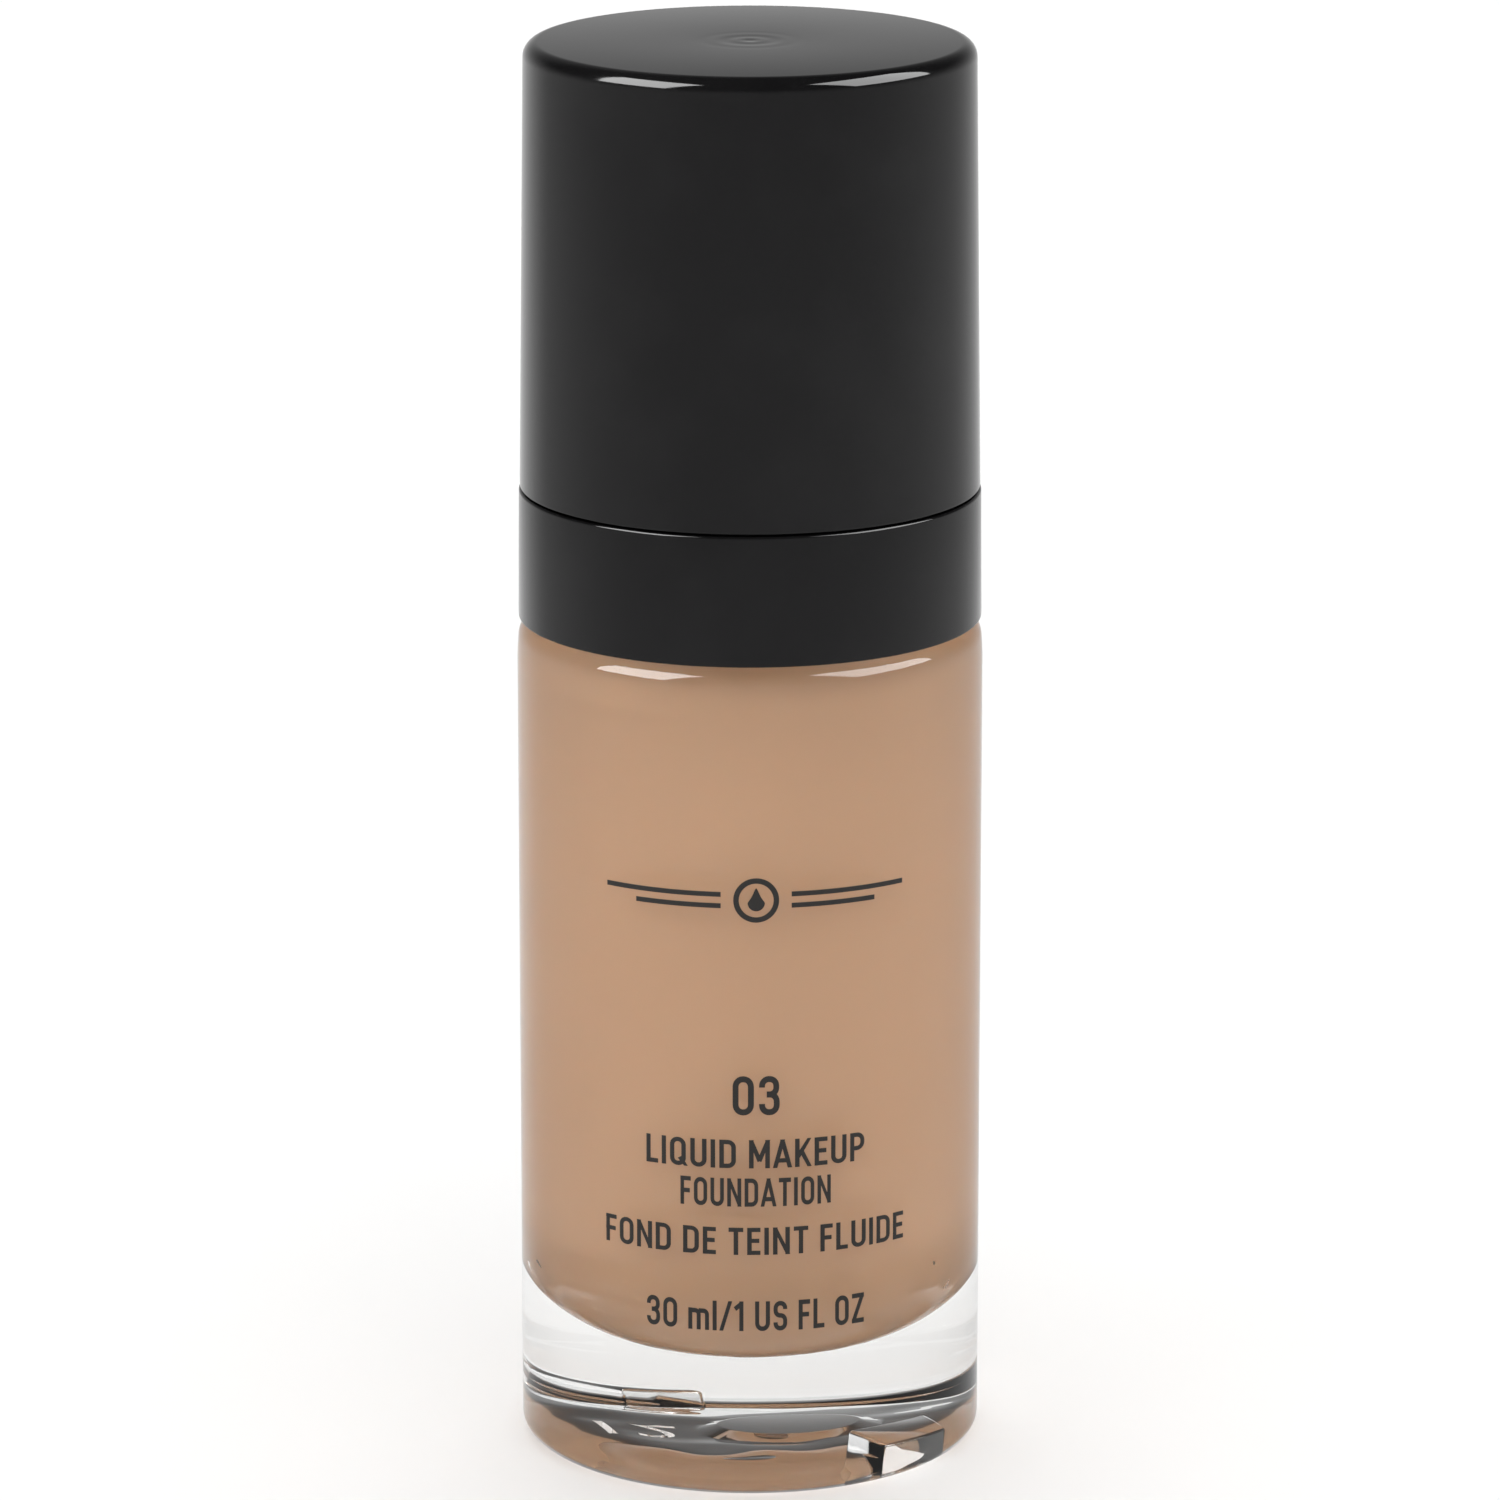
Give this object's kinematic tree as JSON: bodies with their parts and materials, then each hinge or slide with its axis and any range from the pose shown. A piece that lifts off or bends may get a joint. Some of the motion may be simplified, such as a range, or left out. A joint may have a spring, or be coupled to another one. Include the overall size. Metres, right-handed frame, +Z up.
{
  "type": "foundation bottle",
  "caption": "Round heavy-base glass bottle of liquid foundation with a screw-on dispensing pump, a black collar and a tall pull-off overcap.",
  "frame": {"origin": "centre of the base, on the surface that the bottle stands on", "axes": "+Z up along the bottle's axis; the printed front and the pump's spout face -Y"},
  "size_m": [0.034, 0.034, 0.1046],
  "materials": {
    "glass": "clear polished heavy glass",
    "foundation": "smooth opaque beige liquid",
    "gloss_black": "polished black moulded plastic",
    "matte_black": "black moulded polypropylene",
    "natural_plastic": "milky natural polypropylene",
    "clear_tube": "translucent polyethylene tube",
    "seal": "soft white elastomer",
    "steel": "polished stainless steel"
  },
  "bodies": {
    "bottle": {"glass_bottle": "glass", "foundation_liquid": "foundation"},
    "pump_unit": {"neck_gasket": "seal", "pump_housing": "natural_plastic", "turret": "natural_plastic", "dip_tube": "clear_tube", "return_spring": "steel"},
    "closure": {"screw_closure": "matte_black", "collar_sleeve": "gloss_black"},
    "overcap": {"cap_shell": "gloss_black", "cap_liner": "matte_black"},
    "stem": {"pump_stem": "natural_plastic", "stem_plug": "natural_plastic"},
    "actuator": {"actuator_button": "gloss_black", "nozzle_insert": "matte_black"},
    "piston": {"piston": "seal"},
    "inlet_ball": {"inlet_ball": "steel"}
  },
  "joints": [
    {"name": "pump_lift", "type": "slide", "parent": "bottle", "child": "pump_unit", "axis": [0, 0, 1], "range_m": [0, 0.0048]},
    {"name": "closure_turn", "type": "hinge", "parent": "pump_unit", "child": "closure", "pos_m": [0, 0, 0.07], "axis": [0, 0, 1], "range_deg": [0, 540]},
    {"name": "cap_pull", "type": "slide", "parent": "closure", "child": "overcap", "axis": [0, 0, 1], "range_m": [0, 0.034]},
    {"name": "pump_press", "type": "slide", "parent": "pump_unit", "child": "stem", "axis": [0, 0, -1], "range_m": [0, 0.0042], "stiffness_N_per_m": 800, "springref_m": -0.006, "deforming": ["return_spring"]},
    {"name": "nozzle_turn", "type": "hinge", "parent": "stem", "child": "actuator", "pos_m": [0, 0, 0.09], "axis": [0, 0, 1], "continuous": true},
    {"name": "piston_slip", "type": "slide", "parent": "stem", "child": "piston", "axis": [0, 0, 1], "range_m": [0, 0.0006]},
    {"name": "inlet_ball_lift", "type": "slide", "parent": "pump_unit", "child": "inlet_ball", "axis": [0, 0, 1], "range_m": [0, 0.0012]}
  ],
  "couplings": [
    {"joint": "pump_lift", "follows": "closure_turn", "m_per_rad": 0.00050532}
  ]
}
